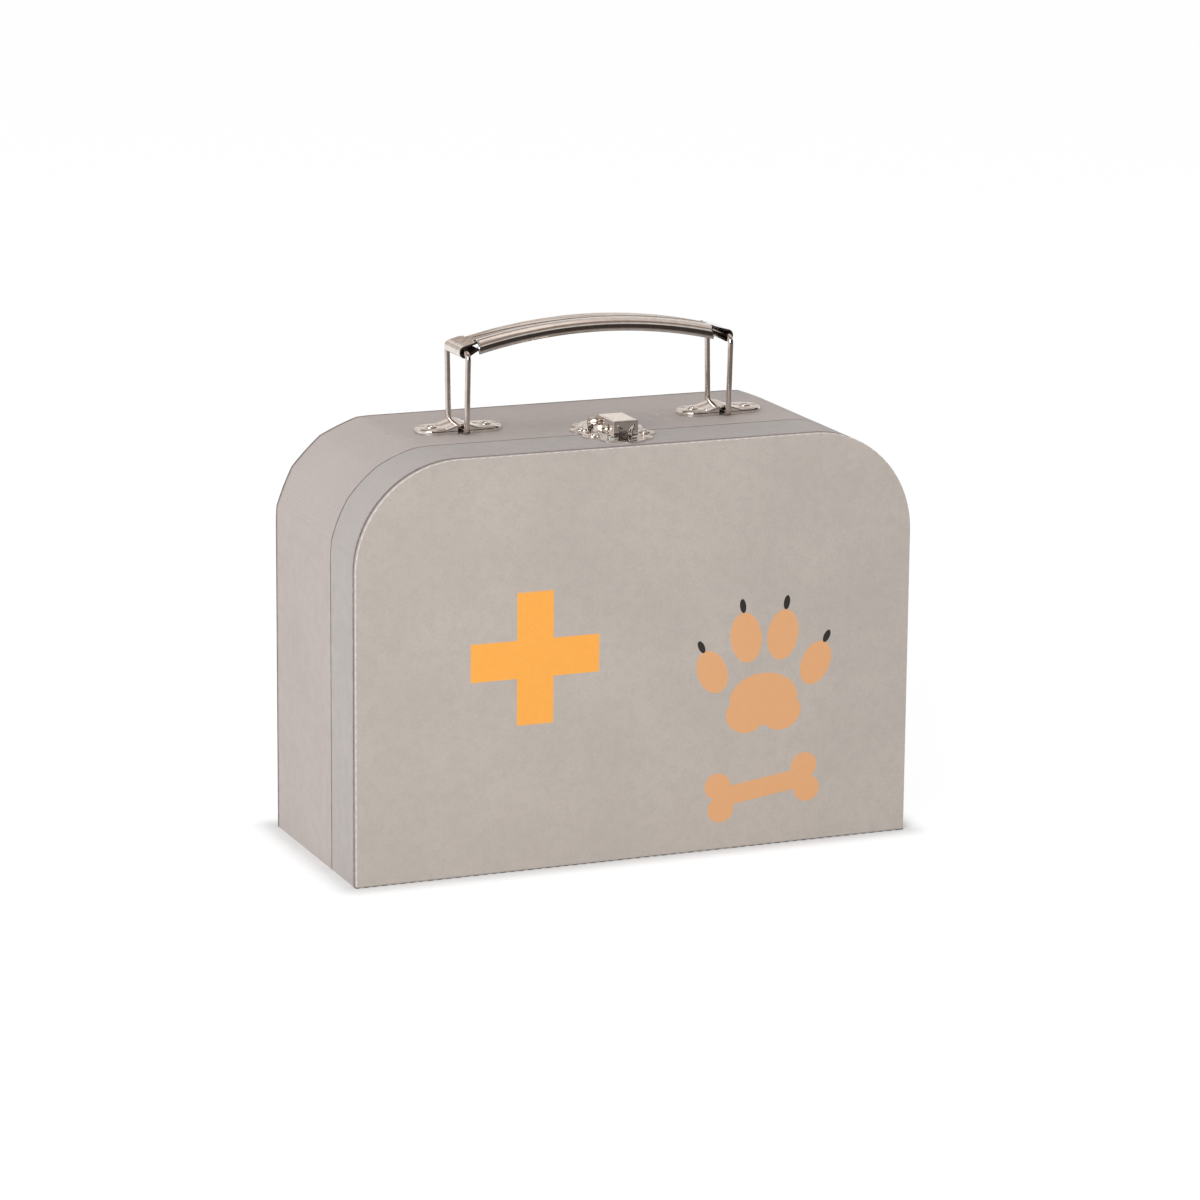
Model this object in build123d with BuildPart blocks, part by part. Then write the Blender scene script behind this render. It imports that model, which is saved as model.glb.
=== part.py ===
from build123d import *
from math import asin, atan2, cos, degrees, hypot, radians, sin, tan
import os

# A small play suitcase of scored and sewn board, upright on its hinge side.
# x runs along the front from left to right, y runs from the front to the back, z is up.
# The origin is on the floor under the middle of the closed case. All sizes are in mm.

os.makedirs("parts", exist_ok=True)

# The case
case_width = 210.0
case_height = 149.0
base_depth = 60.3
lid_depth = 25.3
seam_gap = 0.4  # between the two rims when the case is shut
board = 1.6  # board with its cover paper
lining = 0.4
lining_setback = 1.2  # the linings stop this far short of the seam
lining_play = 0.3  # round the sheets that lie inside the rim linings
shoulder_radius = 38.0
shoulder_creases = 4  # scored folds in each shoulder of a rim
crease_softness = 9.0  # radius of each scored fold

# The cloth hinge under the case, in two leaves that meet at a rolled fold
fold_radius = 0.4
fold_room = 0.3  # free space round the rolled fold
strip_thickness = 0.4
strip_leaf = 14.0
strip_inset = 5.0  # from the ends of the case

# The handle's two brackets, pressed from sheet
bracket_spacing = 100.0
bracket_back = 4.0  # the handle's middle plane, behind the middle of the case
bracket_length = 32.0
bracket_width = 12.6
bracket_height = 2.0
bracket_sheet = 0.7
bracket_edge_bevel = 0.7
ridge_height = 3.7  # over the lid of the case
ridge_foot = 6.4  # from the middle of the bracket to the foot of the ridge
ridge_crown = 1.7
bar_slot = 4.4  # width of the opening for the wire, at each side
bracket_eyelet_spacing = 20.4

# Eyelets, rolled over outside and inside
eyelet_shank = 1.5
eyelet_bore = 1.0
eyelet_head = 2.4
eyelet_head_height = 0.5
eyelet_roll = 0.4
eyelet_play = 0.05
eyelet_sides = 10  # the tube and its holes are drawn ten-sided

# The two wire loops
wire = 2.0
pivot_height = 1.4  # lower bar over the top of the case
loop_rise = 27.8  # from the lower bar to the upper bar
loop_foot_width = 18.4
loop_head_width = 21.0
loop_bend = 2.0
loop_bend_corners = 3  # each bend is drawn as this many mitred corners

# The grip
grip_width = 15.0
grip_sheet = 0.7
grip_rise = 6.8  # the arch over its ends
grip_skirt = 4.6
grip_shoulder = 3.7
grip_inner_bevel = 2.2  # under each shoulder
bar_play = 0.5  # radial, round each upper bar
curl_turn = 195.0  # degrees that each end wraps
skirt_setback = 5.0  # from each upper bar to the end of the side skirts
panel_height = 0.5
panel_width = 7.2
panel_tip = 0.9  # radius of its two points
panel_setback = 5.0  # from each upper bar to the point of the raised panel

# The latch
latch_sheet = 0.6
plate_edge_width = 24.6  # along the seam
plate_lobe = 4.0
plate_lobe_spacing = 19.2
plate_lobe_reach = 5.8  # from the seam line to the middle of the side lobes
plate_nib = 2.6
plate_nib_spacing = 13.6
plate_nib_reach = 14.0
plate_nose = 6.4
plate_nose_reach = 14.1
pin_radius = 0.6
pin_stand_out = 0.3  # how far its ends stand past the knuckles
pin_set = 0.02  # radial, in the fixed knuckles
pin_play = 0.06  # radial, in the swinging knuckle
pin_back = 4.5  # behind the seam line
pin_height = 3.4  # over the top of the case
knuckle = 1.5
knuckle_length = 2.2
knuckle_play = 0.4
hasp_width = 9.0
hasp_front = 12.5  # in front of the seam line
hasp_height = 6.6
hasp_lift = 1.0  # of its lower edge over the case
hasp_slope = 3.0  # from the pin forward to the flat top
hasp_slit = 1.3
hasp_slit_rise = 3.6
hasp_slit_place = 7.0  # in front of the seam line
hasp_edge_round = 0.45
mouth_foot = 4.4  # opening in the hasp's front, at its lower edge
mouth_head = 6.8
mouth_rise = 4.2
tongue_drop = 2.2  # of the pointed tongue over that opening
catch_width = 4.6
catch_window = 3.4  # hole that the bent-up catch leaves behind it
catch_play = 0.4
catch_height = 4.2
catch_nose = 0.5

# Places that follow from the sizes above
case_depth = base_depth + seam_gap + lid_depth
front_y = -case_depth / 2
back_y = case_depth / 2
seam_y = front_y + lid_depth + seam_gap / 2
lid_edge_y = seam_y - seam_gap / 2
base_edge_y = seam_y + seam_gap / 2
half_width = case_width / 2
inside_top = case_height - board - lining
bar_radius = wire / 2
lower_bar_z = case_height + pivot_height
upper_bar_z = lower_bar_z + loop_rise
pin_y = seam_y + pin_back
pin_z = case_height + pin_height
latch_top = case_height + latch_sheet
half_span = bracket_spacing / 2
eyelet_hole = eyelet_shank + eyelet_play


def facing_front(y):
    """A plane across the case at y, seen from the front: its own y is up."""
    return Plane.XZ.offset(-y)


def lengthwise(x):
    """A plane across the case's length at x: its own x runs back and its own y is up."""
    return Plane.YZ.offset(x)


def finish(piece, name):
    piece.part.label = name
    export_step(piece.part, f"parts/{name}.step")


def shoulder_points(side, inset):
    """The scored folds of one shoulder, from the side wall up to the top."""
    step = 90 / shoulder_creases
    reach = (shoulder_radius - inset) / cos(radians(step / 2))
    middle = (half_width - shoulder_radius, case_height - shoulder_radius)
    turns = [radians(step * (k + 0.5)) for k in range(shoulder_creases)]
    return [(side * (middle[0] + reach * cos(a)), middle[1] + reach * sin(a)) for a in turns]


def case_outline(inset=0.0, scored=True):
    """The case from the front: square feet, and shoulders that are scored or plainly round."""
    foot = half_width - inset
    # a fold as round as the shoulder itself leaves one smooth arc
    softness = crease_softness - inset if scored else (shoulder_radius - inset) * 0.999
    right, left = shoulder_points(1, inset), shoulder_points(-1, inset)
    with BuildSketch() as outline:
        Polygon((-foot, inset), (foot, inset), *right, *reversed(left), align=None)
        folds = outline.vertices().filter_by_position(Axis.Y, inset + 1, case_height)
        fillet(folds, softness)
    return outline.sketch


def band_section(y, outside, inside):
    """Section of a band round the case at y, between two insets from its skin."""
    with BuildSketch(facing_front(y)) as band:
        add(case_outline(outside))
        add(case_outline(inside), mode=Mode.SUBTRACT)
    return band.sketch


def rim_band(y):
    return band_section(y, 0, board)


def lining_band(y):
    return band_section(y, board, board + lining)


def lining_panel(y):
    with BuildSketch(facing_front(y)) as panel:
        add(case_outline(board + lining + lining_play))
    return panel.sketch


def strip_rebate(y_from, y_to):
    """The shallow step under a rim that takes the hinge cloth, and the room for its fold."""
    with BuildSketch(lengthwise(0)) as step:
        with Locations(((y_from + y_to) / 2, strip_thickness / 2)):
            Rectangle(abs(y_to - y_from), strip_thickness)
    extrude(step.sketch, amount=half_width - strip_inset, both=True, mode=Mode.SUBTRACT)
    with BuildSketch(lengthwise(0)) as room:
        with Locations((seam_y, fold_radius)):
            Circle(fold_radius + fold_room)
    extrude(room.sketch, amount=half_width, both=True, mode=Mode.SUBTRACT)


def tube_section(z, places, radius):
    """The outline of an eyelet's tube, or of its hole, at each of these x, y places."""
    with BuildSketch(Plane.XY.offset(z)) as section:
        with Locations(*places):
            RegularPolygon(radius, eyelet_sides)
    return section.sketch


def drill_down(places):
    """Eyelet holes through the top of the case at these x, y places."""
    holes = tube_section(case_height + ridge_height, places, eyelet_hole)
    depth = ridge_height + board + lining + 2
    extrude(holes, amount=-depth, mode=Mode.SUBTRACT)


def bracket_eyelets_at(side):
    half = bracket_eyelet_spacing / 2
    return [(side * half_span + d, bracket_back) for d in (-half, half)]


def plate_eyelets_at(side):
    """Eyelet places of a latch plate, side -1 on the lid and 1 on the base."""
    half = plate_lobe_spacing / 2
    return [(d, seam_y + side * plate_lobe_reach) for d in (-half, half)]


# The deep half: a band of board, a back panel, and paper linings
base_holes = bracket_eyelets_at(-1) + bracket_eyelets_at(1) + plate_eyelets_at(1)
lid_holes = plate_eyelets_at(-1)

with BuildPart() as base_rim:
    extrude(rim_band(back_y - board), amount=base_depth - board)
    strip_rebate(base_edge_y, seam_y + strip_leaf)
    drill_down(base_holes)
finish(base_rim, "base_rim")

with BuildPart() as base_back_panel:
    with BuildSketch(facing_front(back_y)):
        add(case_outline(scored=False))
    extrude(amount=board)
finish(base_back_panel, "base_back_panel")

with BuildPart() as base_rim_lining:
    extrude(lining_band(back_y - board), amount=base_depth - board - lining_setback)
    drill_down(base_holes)
finish(base_rim_lining, "base_rim_lining")

with BuildPart() as base_back_lining:
    extrude(lining_panel(back_y - board), amount=lining)
finish(base_back_lining, "base_back_lining")

# The lid: the same make, less deep, with the front panel
with BuildPart() as lid_rim:
    extrude(rim_band(lid_edge_y), amount=lid_depth - board)
    strip_rebate(lid_edge_y, seam_y - strip_leaf)
    drill_down(lid_holes)
finish(lid_rim, "lid_rim")

with BuildPart() as lid_front_panel:
    with BuildSketch(facing_front(front_y + board)):
        add(case_outline(scored=False))
    extrude(amount=board)
finish(lid_front_panel, "lid_front_panel")

with BuildPart() as lid_rim_lining:
    extrude(lining_band(lid_edge_y - lining_setback), amount=lid_depth - board - lining_setback)
    drill_down(lid_holes)
finish(lid_rim_lining, "lid_rim_lining")

with BuildPart() as lid_front_lining:
    extrude(lining_panel(front_y + board + lining), amount=lining)
finish(lid_front_lining, "lid_front_lining")

# The hinge cloth, let in flush under both rims. The rolled fold is the hinge line.
with BuildPart() as hinge_strip_base:
    with BuildSketch(lengthwise(0)):
        with Locations((seam_y + strip_leaf / 2, strip_thickness / 2)):
            Rectangle(strip_leaf, strip_thickness)
        with Locations((seam_y, fold_radius)):
            Circle(fold_radius)
    extrude(amount=half_width - strip_inset, both=True)
finish(hinge_strip_base, "hinge_strip_base")

with BuildPart() as hinge_strip_lid:
    leaf = strip_leaf - fold_radius - fold_room
    with BuildSketch(lengthwise(0)):
        with Locations((seam_y - strip_leaf + leaf / 2, strip_thickness / 2)):
            Rectangle(leaf, strip_thickness)
    extrude(amount=half_width - strip_inset, both=True)
finish(hinge_strip_lid, "hinge_strip_lid")


# Handle brackets: a shallow pressed tray, upside down, with a tented ridge over the bar
def ridge_profile(inset):
    """The ridge seen from the front, drawn inset by one sheet for its hollow."""
    slope = atan2(ridge_height - bracket_height, ridge_foot - ridge_crown / 2)
    shift = inset * tan(slope / 2)
    crown = ridge_crown / 2 - shift
    top = ridge_height - inset
    drop = bracket_height - inset
    foot = ridge_foot - shift
    with BuildSketch() as profile:
        Polygon((-foot, 0), (foot, 0), (foot, drop), (crown, top), (-crown, top), (-foot, drop),
                align=None)
    return profile.sketch


def make_bracket(x):
    above = Plane.XY.offset(case_height)
    front = Plane(origin=(x, bracket_back, case_height), x_dir=(1, 0, 0), z_dir=(0, -1, 0))
    with BuildPart() as bracket:
        with BuildSketch(above):
            with Locations((x, bracket_back)):
                SlotOverall(bracket_length, bracket_width)
        extrude(amount=bracket_height)
        chamfer(bracket.faces().sort_by(Axis.Z)[-1].edges(), bracket_edge_bevel)
        with BuildSketch(front):
            add(ridge_profile(0))
        extrude(amount=bracket_width / 2, both=True)
        crown = bracket.edges().filter_by(Axis.Y).group_by(Axis.Z)[-1]
        fillet(crown, ridge_crown / 2 * 0.95)
        with BuildSketch(above):
            with Locations((x, bracket_back)):
                SlotOverall(bracket_length - 2 * bracket_sheet, bracket_width - 2 * bracket_sheet)
        extrude(amount=bracket_height - bracket_sheet, mode=Mode.SUBTRACT)
        with BuildSketch(front):
            add(ridge_profile(bracket_sheet))
        extrude(amount=bracket_width / 2 - bracket_sheet, both=True, mode=Mode.SUBTRACT)
        # the tented opening at each side, where the wire goes in
        with BuildSketch(front):
            add(ridge_profile(bracket_sheet))
            Rectangle(bar_slot, 2 * ridge_height, mode=Mode.INTERSECT)
        extrude(amount=bracket_width, both=True, mode=Mode.SUBTRACT)
        drill_down(bracket_eyelets_at(1 if x > 0 else -1))
    return bracket


def make_eyelets(places, seat_z):
    """Tubular eyelets: a round head on the metal, a shank, and a rolled end inside."""
    tail = inside_top - eyelet_roll
    with BuildPart() as eyelets:
        with BuildSketch(Plane.XY.offset(seat_z)):
            with Locations(*places):
                Circle(eyelet_head)
        extrude(amount=eyelet_head_height)
        extrude(tube_section(tail, places, eyelet_shank), amount=seat_z - tail)
        extrude(tube_section(tail, places, eyelet_head), amount=eyelet_roll)
        extrude(tube_section(tail, places, eyelet_bore), amount=seat_z + eyelet_head_height - tail,
                mode=Mode.SUBTRACT)
    return eyelets


def loop_points():
    """One side of a wire loop, from the middle of its lower bar to the middle of its upper."""
    foot = loop_foot_width / 2
    head = loop_head_width / 2
    with BuildLine() as smooth:
        FilletPolyline((0, lower_bar_z), (foot, lower_bar_z), (head, upper_bar_z),
                       (0, upper_bar_z), radius=loop_bend)
    bends = smooth.edges().filter_by(GeomType.CIRCLE).sort_by(Axis.Y)
    points = [(0, lower_bar_z)]
    for bend in bends:
        turn = bend.length / loop_bend
        spread = 1 / cos(turn / loop_bend_corners / 2)
        on_arc = [bend @ ((k + 0.5) / loop_bend_corners) for k in range(loop_bend_corners)]
        corners = [bend.arc_center + (p - bend.arc_center) * spread for p in on_arc]
        points += sorted([(p.X, p.Y) for p in corners], key=lambda p: p[1])
    return points + [(0, upper_bar_z)]


def make_loop(x):
    """One closed loop of round wire, wider at the grip than at the bracket."""
    with BuildPart() as loop:
        with BuildLine(Plane(origin=(x, bracket_back, 0), x_dir=(0, 1, 0), z_dir=(1, 0, 0))) as path:
            Polyline(*loop_points())
        across = Plane(origin=(x, bracket_back, lower_bar_z), x_dir=(1, 0, 0), z_dir=(0, 1, 0))
        with BuildSketch(across):
            Circle(bar_radius)
        sweep(path=path.line, transition=Transition.RIGHT)
        mirror(about=Plane.XZ.offset(-bracket_back))
    return loop


for name, x in (("left", -half_span), ("right", half_span)):
    finish(make_bracket(x), f"bracket_{name}")
    finish(make_loop(x), f"loop_{name}")

bracket_eyelets = make_eyelets(bracket_eyelets_at(-1) + bracket_eyelets_at(1),
                               case_height + bracket_height)
finish(bracket_eyelets, "bracket_eyelets")

# The grip: a sheet bent to a channel along an arch, its ends curled round the upper bars
curl_inner = bar_radius + bar_play
curl_outer = curl_inner + grip_sheet
bar_line_radius = (half_span**2 + grip_rise**2) / (2 * grip_rise)  # of the arch through the bars
arch_radius = bar_line_radius + curl_outer
arch_centre = grip_rise - bar_line_radius  # over the bars
end_turn = degrees(asin(half_span / bar_line_radius))
skirt_turn = degrees(asin((half_span - skirt_setback) / arch_radius))
grip_front = Plane(origin=(0, bracket_back, upper_bar_z), x_dir=(1, 0, 0), z_dir=(0, -1, 0))
grip_section = Plane(origin=(0, bracket_back, upper_bar_z), x_dir=(0, 1, 0), z_dir=(1, 0, 0))
arch_axis = Axis((0, bracket_back, upper_bar_z + arch_centre), (0, 1, 0))
crown_z = grip_rise + curl_outer


def across_grip(width, top, bottom, ease, size):
    """A block drawn across the grip, its two upper corners eased by fillet or chamfer."""
    with BuildSketch(grip_section) as section:
        with Locations((0, (top + bottom) / 2)):
            Rectangle(width, top - bottom)
        ease(section.vertices().group_by(Axis.Y)[-1], size)
    return section.sketch


def along_arch(section, turn, mode=Mode.ADD):
    """Turn a section about the arch's centre, this many degrees to each side."""
    for way in (-turn, turn):
        revolve(section, axis=arch_axis, revolution_arc=way, mode=mode)


def arch_band(inner, outer):
    """Part of a ring about the arch's centre, from one bar to the other."""
    with BuildSketch(grip_front) as band:
        with BuildLine():
            over = CenterArc((0, arch_centre), outer, 90 - end_turn, 2 * end_turn)
            under = CenterArc((0, arch_centre), inner, 90 - end_turn, 2 * end_turn)
            Line(over @ 0, under @ 0)
            Line(over @ 1, under @ 1)
        make_face()
    return band.sketch


def end_curl(side):
    """The curled end of the sheet, round the bar on this side."""
    start = 90 - side * end_turn
    with BuildSketch(grip_front) as curl:
        with BuildLine():
            bar = (side * half_span, 0)
            outside = CenterArc(bar, curl_outer, start, -side * curl_turn)
            inside = CenterArc(bar, curl_inner, start, -side * curl_turn)
            Line(outside @ 0, inside @ 0)
            Line(outside @ 1, inside @ 1)
        make_face()
    return curl.sketch


# the raised panel on top: a long lens with pointed ends, pressed up out of the sheet
with BuildPart() as raised_panel:
    half_length = half_span - panel_setback
    with BuildSketch(Plane.XY.offset(upper_bar_z)):
        with BuildLine():
            ends = [(-half_length, bracket_back), (half_length, bracket_back)]
            ThreePointArc(ends[0], (0, bracket_back + panel_width / 2), ends[1])
            ThreePointArc(ends[0], (0, bracket_back - panel_width / 2), ends[1])
        make_face()
        fillet(vertices(), panel_tip)
    extrude(amount=crown_z + 2 * panel_height)
    extrude(arch_band(arch_radius - grip_sheet, arch_radius + panel_height),
            amount=grip_width / 2, both=True, mode=Mode.INTERSECT)

with BuildPart() as grip:
    skin = across_grip(grip_width, crown_z, crown_z - grip_skirt, fillet, grip_shoulder)
    along_arch(skin, skirt_turn)
    hollow = across_grip(grip_width - 2 * grip_sheet, crown_z - grip_sheet,
                         crown_z - 2 * grip_skirt, chamfer, grip_inner_bevel)
    along_arch(hollow, end_turn, Mode.SUBTRACT)
    extrude(arch_band(arch_radius - grip_sheet, arch_radius),
            amount=grip_width / 2 - grip_shoulder, both=True)
    for side in (-1, 1):
        extrude(end_curl(side), amount=grip_width / 2, both=True)
    add(raised_panel.part)
finish(grip, "grip")


# The latch plates: two scalloped stampings of one outline, back to back at the seam
def latch_plate(side, edge_y):
    """Outline of a latch plate, side -1 on the lid and 1 on the base."""
    with BuildSketch(Plane.XY.offset(case_height)) as plate:
        lobe_y = seam_y + side * plate_lobe_reach
        nib_y = seam_y + side * plate_nib_reach
        with Locations((0, (edge_y + lobe_y) / 2)):
            Rectangle(plate_edge_width, abs(lobe_y - edge_y))
        with Locations((0, (edge_y + nib_y) / 2)):
            Rectangle(plate_lobe_spacing, abs(nib_y - edge_y))
        with Locations(*plate_eyelets_at(side)):
            Circle(plate_lobe)
        with Locations(*[(d * plate_nib_spacing / 2, nib_y) for d in (-1, 1)]):
            Circle(plate_nib)
        with Locations((0, seam_y + side * plate_nose_reach)):
            Circle(plate_nose)
    return plate.sketch


hasp_back_y = seam_y - hasp_front  # its front face
hasp_low = case_height + hasp_lift
hasp_top = case_height + hasp_height
catch_front_y = hasp_back_y + latch_sheet + catch_play + catch_nose
knuckle_start = hasp_width / 2 + knuckle_play

with BuildPart() as latch_catch_plate:
    extrude(latch_plate(-1, lid_edge_y), amount=latch_sheet)
    # the catch, bent up out of the plate, and the window it leaves
    with BuildSketch(Plane.XY.offset(case_height)):
        with Locations((0, catch_front_y + latch_sheet + catch_window / 2)):
            Rectangle(catch_width + 2 * eyelet_play, catch_window)
    extrude(amount=latch_sheet, mode=Mode.SUBTRACT)
    with BuildSketch(lengthwise(-catch_width / 2)):
        with Locations((catch_front_y + latch_sheet / 2, case_height + catch_height / 2)):
            Rectangle(latch_sheet, catch_height)
        with Locations((catch_front_y, pin_z)):
            Circle(catch_nose)
    extrude(amount=catch_width)
    drill_down(plate_eyelets_at(-1))
finish(latch_catch_plate, "latch_catch_plate")

with BuildPart() as latch_hinge_plate:
    extrude(latch_plate(1, base_edge_y), amount=latch_sheet)
    for start in (knuckle_start, -knuckle_start - knuckle_length):
        with BuildSketch(lengthwise(start)) as curl:
            leg_height = pin_z - case_height
            with Locations((pin_y + knuckle - latch_sheet / 2, case_height + leg_height / 2)):
                Rectangle(latch_sheet, leg_height)
            with Locations((pin_y, pin_z)):
                Circle(knuckle)
                Circle(pin_radius + pin_set, mode=Mode.SUBTRACT)
        extrude(curl.sketch, amount=knuckle_length)
    drill_down(plate_eyelets_at(1))
finish(latch_hinge_plate, "latch_hinge_plate")

with BuildPart() as latch_pin:
    with BuildSketch(lengthwise(0)):
        with Locations((pin_y, pin_z)):
            Circle(pin_radius)
    extrude(amount=knuckle_start + knuckle_length + pin_stand_out, both=True)
finish(latch_pin, "latch_pin")

# The hasp: a folded box that snaps over the catch, with a pointed tongue in its front
flat_end_y = pin_y - hasp_slope
rise = hasp_top - pin_z
tangent = atan2(rise, -hasp_slope) - radians(90) + asin(knuckle / hypot(rise, hasp_slope))
slope_end = (pin_y + knuckle * cos(tangent), pin_z + knuckle * sin(tangent))
heel = 0.7  # of the hasp's lower edge, in front of its knuckle

with BuildPart() as latch_hasp:
    with BuildSketch(lengthwise(0)):
        Polygon((hasp_back_y, hasp_low), (hasp_back_y, hasp_top), (flat_end_y, hasp_top), slope_end,
                (pin_y, pin_z), (pin_y - knuckle, pin_z), (pin_y - knuckle - heel, hasp_low),
                align=None)
        with Locations((pin_y, pin_z)):
            Circle(knuckle)
    extrude(amount=hasp_width / 2, both=True)
    edges_on_top = latch_hasp.edges().group_by(Axis.Z)[-1]
    fillet(edges_on_top, hasp_edge_round)
    with BuildSketch(lengthwise(0)):
        inner_front = hasp_back_y + latch_sheet
        inner_top = hasp_top - latch_sheet
        inner_heel = pin_y - knuckle - heel / 2
        Polygon((inner_front, hasp_low - 1), (inner_front, inner_top), (flat_end_y, inner_top),
                (inner_heel, pin_z + knuckle), (inner_heel, hasp_low - 1), align=None)
    extrude(amount=hasp_width / 2 - latch_sheet, both=True, mode=Mode.SUBTRACT)
    with BuildSketch(facing_front(hasp_back_y + latch_sheet)):
        foot, head = mouth_foot / 2, mouth_head / 2
        Polygon((-foot, hasp_low - 1), (-foot, hasp_low), (-head, hasp_low + mouth_rise),
                (0, hasp_low + mouth_rise - tongue_drop), (head, hasp_low + mouth_rise),
                (foot, hasp_low), (foot, hasp_low - 1), align=None)
    extrude(amount=2 * latch_sheet, mode=Mode.SUBTRACT)
    with BuildSketch(lengthwise(0)):
        with Locations((seam_y - hasp_slit_place, hasp_low + (hasp_slit_rise - 1) / 2)):
            Rectangle(hasp_slit, hasp_slit_rise + 1)
    extrude(amount=hasp_width, both=True, mode=Mode.SUBTRACT)
    with BuildSketch(lengthwise(0)):
        with Locations((pin_y, pin_z)):
            Circle(pin_radius + pin_play)
    extrude(amount=hasp_width, both=True, mode=Mode.SUBTRACT)
finish(latch_hasp, "latch_hasp")

for name, side in (("lid", -1), ("base", 1)):
    finish(make_eyelets(plate_eyelets_at(side), latch_top), f"latch_eyelets_{name}")
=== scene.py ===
from math import asin, atan2, cos, pi, radians, sin, sqrt

import bmesh
import bpy
from mathutils import Matrix, Vector


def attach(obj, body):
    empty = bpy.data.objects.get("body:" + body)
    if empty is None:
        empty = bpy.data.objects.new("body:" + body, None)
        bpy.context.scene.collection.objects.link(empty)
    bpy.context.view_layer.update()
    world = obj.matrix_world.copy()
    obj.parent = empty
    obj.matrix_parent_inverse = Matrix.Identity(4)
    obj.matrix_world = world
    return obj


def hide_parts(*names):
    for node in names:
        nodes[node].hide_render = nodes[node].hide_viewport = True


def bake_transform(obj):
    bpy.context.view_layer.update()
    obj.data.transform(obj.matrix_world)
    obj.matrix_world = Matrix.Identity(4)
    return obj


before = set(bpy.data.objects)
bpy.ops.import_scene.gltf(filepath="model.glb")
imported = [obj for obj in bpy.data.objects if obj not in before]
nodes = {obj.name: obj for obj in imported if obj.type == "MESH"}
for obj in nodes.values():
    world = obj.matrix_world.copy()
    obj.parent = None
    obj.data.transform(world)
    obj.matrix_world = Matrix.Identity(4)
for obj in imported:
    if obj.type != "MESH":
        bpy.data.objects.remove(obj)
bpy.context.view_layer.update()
mm = 0.001  # Blender works in metres

# Sizes of the case, in millimetres
half_width = 105.0
height = 149.0
front_y = -43.0
back_y = 43.0
seam_y = -17.5
board = 1.6
shoulder_radius = 38.0
shoulder_x = half_width - shoulder_radius
shoulder_z = height - shoulder_radius
fold_angle = radians(22.5)
panel_round = 0.5
back_inset = 0.8  # the back panel stops short of the folded rim

# Sizes of the handle
handle_y = 4.0
bar_x = 50.0
lower_bar_z = 150.4
upper_bar_z = 178.2
wire = 2.0
loop_foot = 9.2
loop_head = 10.5
loop_foot_bend = 1.5
loop_head_bend = 2.7
grip_half = 7.5
grip_sheet = 0.7
grip_rise = 6.8
grip_shoulder = 3.7
grip_skirt = 4.6
curl_radius = 2.2
curl_sweep = radians(187)
curl_tail = 4.4
curl_tail_rise = 2.5
skirt_end = 45.0
lens_half_length = 45.0
lens_half_width = 3.6
lens_height = 0.44
bracket_half_length = 16.0
bracket_half_width = 6.3
bracket_top = 2.0
bracket_round = 0.95
ridge_top = 3.7
ridge_foot = 6.4
wire_gap = 2.2
eyelet_place = 10.2
eyelet_bore = 1.0
eyelet_shank = 1.45
latch_sheet = 0.6
latch_eyelet_x = 9.6
latch_eyelet_reach = 5.8
eyelet_tail = height - 2.4

# Sewing thread at the edges of both panels
stitch_pitch = 3.4
stitch_length = 2.9
thread = 0.46
foot_clear = 1.7

# The cloth strip under the seam
cloth_half_length = 99.8
cloth_half_width = 13.8
cloth_thickness = 0.3
cloth_fold = 0.9


# The photograph's camera, from a perspective fit to the case
def place_camera():
    yaw, pitch, roll = radians(-22.505), radians(13.341), radians(0.493)
    back = Vector((sin(yaw) * cos(pitch), -cos(yaw) * cos(pitch), sin(pitch)))
    right = Vector((cos(yaw), sin(yaw), 0))
    up = back.cross(right)
    across = cos(roll) * right + sin(roll) * up
    upward = -sin(roll) * right + cos(roll) * up
    aim = Vector((0, -0.043, 0.07875))
    reach, sideways, rise = 1.681697, -0.013444, 0.014942
    spot = aim + back * reach + across * sideways + upward * rise
    data = bpy.data.cameras.new("photo_camera")
    data.sensor_width = 36
    data.lens = 144.064
    data.clip_start = 0.01
    camera = bpy.data.objects.new("photo_camera", data)
    turn = Matrix((across, upward, back)).transposed().to_4x4()
    camera.matrix_world = Matrix.Translation(spot) @ turn
    bpy.context.scene.collection.objects.link(camera)
    bpy.context.scene.camera = camera


place_camera()
bpy.context.scene.view_settings.view_transform = "Standard"


# Light: a large softbox at the front left, a faint one above and an even white room
def area_lamp(name, spot, target, size, power):
    data = bpy.data.lights.new(name, "AREA")
    data.shape = "SQUARE"
    data.size = size
    data.energy = power
    lamp = bpy.data.objects.new(name, data)
    spot = Vector(spot)
    aim = (Vector(target) - spot).to_track_quat("-Z", "Y")
    lamp.matrix_world = Matrix.Translation(spot) @ aim.to_matrix().to_4x4()
    bpy.context.scene.collection.objects.link(lamp)


area_lamp("front_softbox", (-1.45, -1.75, 1.1), (0, 0, 0.08), 1.3, 33)
area_lamp("top_softbox", (0.4, 0.2, 1.25), (0.02, 0, 0.15), 0.9, 1.1)


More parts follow.
